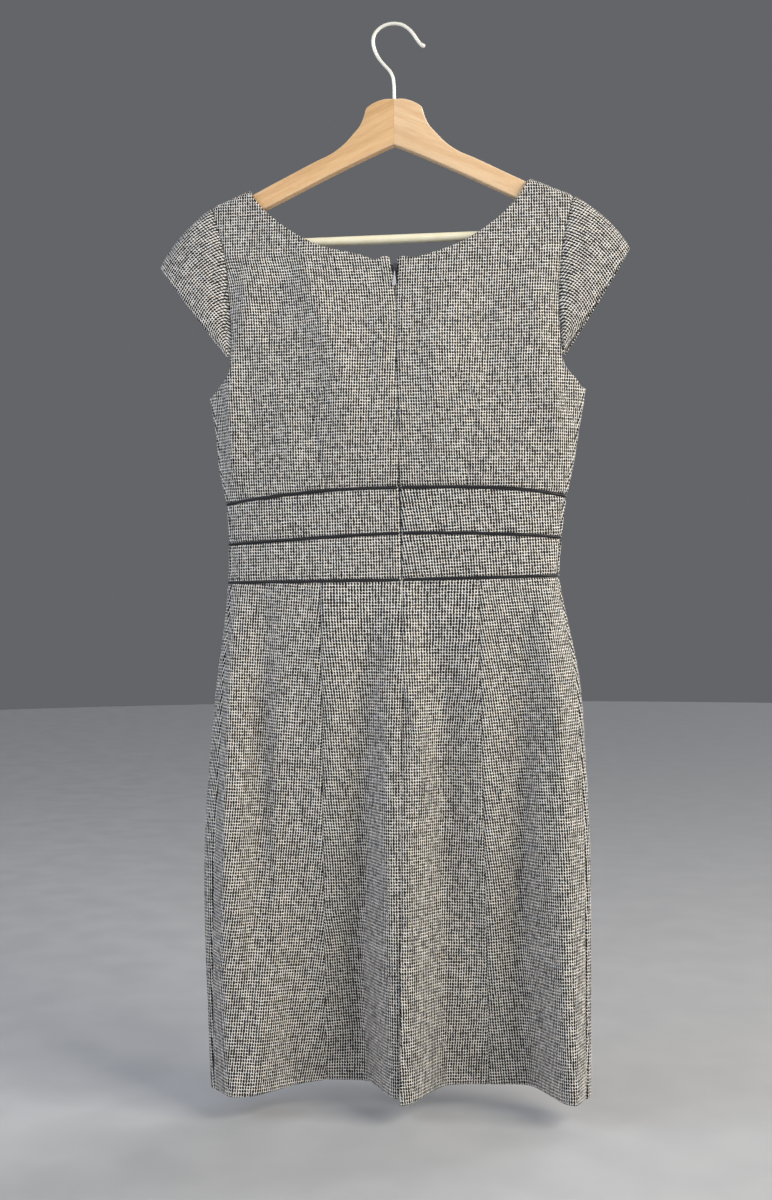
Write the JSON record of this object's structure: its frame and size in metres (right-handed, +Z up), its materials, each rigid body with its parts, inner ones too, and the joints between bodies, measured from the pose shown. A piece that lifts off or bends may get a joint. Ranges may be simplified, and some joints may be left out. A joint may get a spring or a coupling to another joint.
{
  "type": "sheath dress on a hanger",
  "caption": "Knee-length sheath dress in check tweed with cap sleeves, banded waist with satin piping and a back zip, hung on a wooden hanger.",
  "frame": {"origin": "inner top of the hanger's hook, where a rail or nail carries it", "axes": "+Z up; -Y out of the dress's back, the side with the zip; +X to the right of somebody who looks at that back"},
  "size_m": [0.5008, 0.1152, 1.1282],
  "materials": {
    "tweed": "matte small-check wool tweed",
    "satin": "black satin",
    "zip_metal": "dull nickel",
    "beech": "clear satin varnish",
    "hook_steel": "polished steel",
    "bar_cream": "cream lacquer"
  },
  "bodies": {
    "dress": {"back_bodice_left": "tweed", "back_bodice_right": "tweed", "cap_sleeve_left": "tweed", "cap_sleeve_right": "tweed", "front_bodice": "tweed", "upper_band_back_left": "tweed", "upper_band_back_right": "tweed", "upper_band_front": "tweed", "lower_band_back_left": "tweed", "lower_band_back_right": "tweed", "lower_band_front": "tweed", "skirt_centre_back_left": "tweed", "skirt_centre_back_right": "tweed", "skirt_side_back_left": "tweed", "skirt_side_back_right": "tweed", "vent_underlap": "tweed", "skirt_front": "tweed", "piping_top": "satin", "piping_middle": "satin", "piping_bottom": "satin", "zip_tape": "satin", "zip_slider": "zip_metal", "hanger_arm_left": "beech", "hanger_arm_right": "beech", "hanger_hook": "hook_steel", "hanger_bar": "bar_cream"},
    "pull_tab": {"zip_pull": "zip_metal"}
  },
  "joints": [
    {"name": "pull_tab_hinge", "type": "hinge", "parent": "dress", "child": "pull_tab", "pos_m": [-0.00095, -0.02317, -0.2645], "axis": [-1, 0, 0], "range_deg": [0, 150]}
  ]
}
